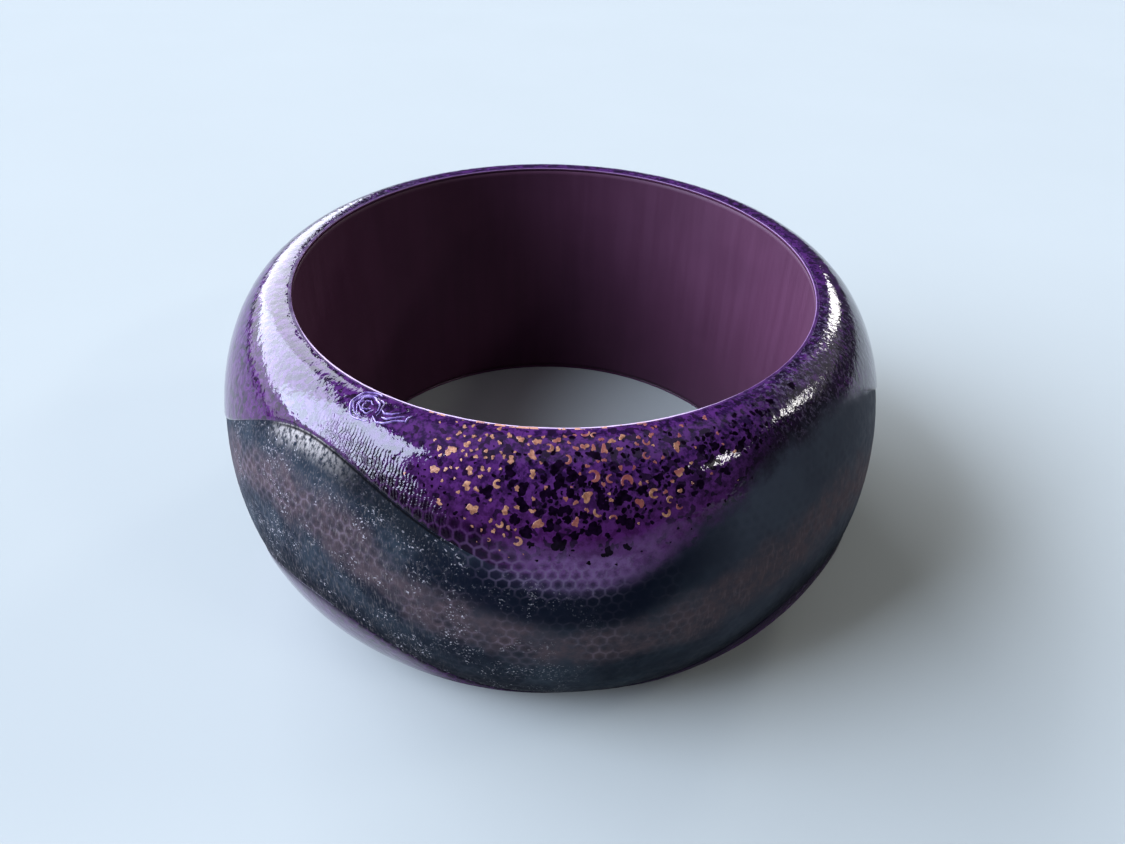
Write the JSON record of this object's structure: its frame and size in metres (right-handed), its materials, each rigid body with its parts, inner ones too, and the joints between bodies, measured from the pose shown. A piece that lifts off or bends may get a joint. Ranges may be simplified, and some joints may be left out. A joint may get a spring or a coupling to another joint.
{
  "type": "bangle bracelet",
  "caption": "Wide rigid slip-on bangle with a straight bore and a domed outside, painted with a net-patterned wave between glossy lacquered fields.",
  "frame": {"origin": "middle of the bore in the plane of the base that the bangle rests on", "axes": "+Z along the bore, from the base to the other rim; -Y towards the trough of the wave that carries the flakes; +X to the right of it"},
  "size_m": [0.0876, 0.0876, 0.038],
  "materials": {
    "turned_wood": "sanded, hidden under the coats",
    "plum_satin": "satin paint with faint brush streaks",
    "purple_ground": "flat paint under the lacquer",
    "slate_satin": "satin paint sprayed through a net",
    "purple_gloss": "high-gloss lacquer over mottled purple",
    "copper_leaf": "crumpled copper leaf",
    "black_leaf": "glossy black flakes",
    "edge_line": "glossy pooled lacquer"
  },
  "bodies": {
    "root": {"wood_core": "turned_wood", "bore_lining": "plum_satin", "ground_coat": "purple_ground", "wave_band": "slate_satin", "upper_lacquer": "purple_gloss", "lower_lacquer": "purple_gloss", "copper_flakes": "copper_leaf", "black_flakes": "black_leaf", "swirl_relief": "purple_gloss", "top_rim_bead": "edge_line", "bottom_rim_bead": "edge_line"}
  },
  "joints": []
}
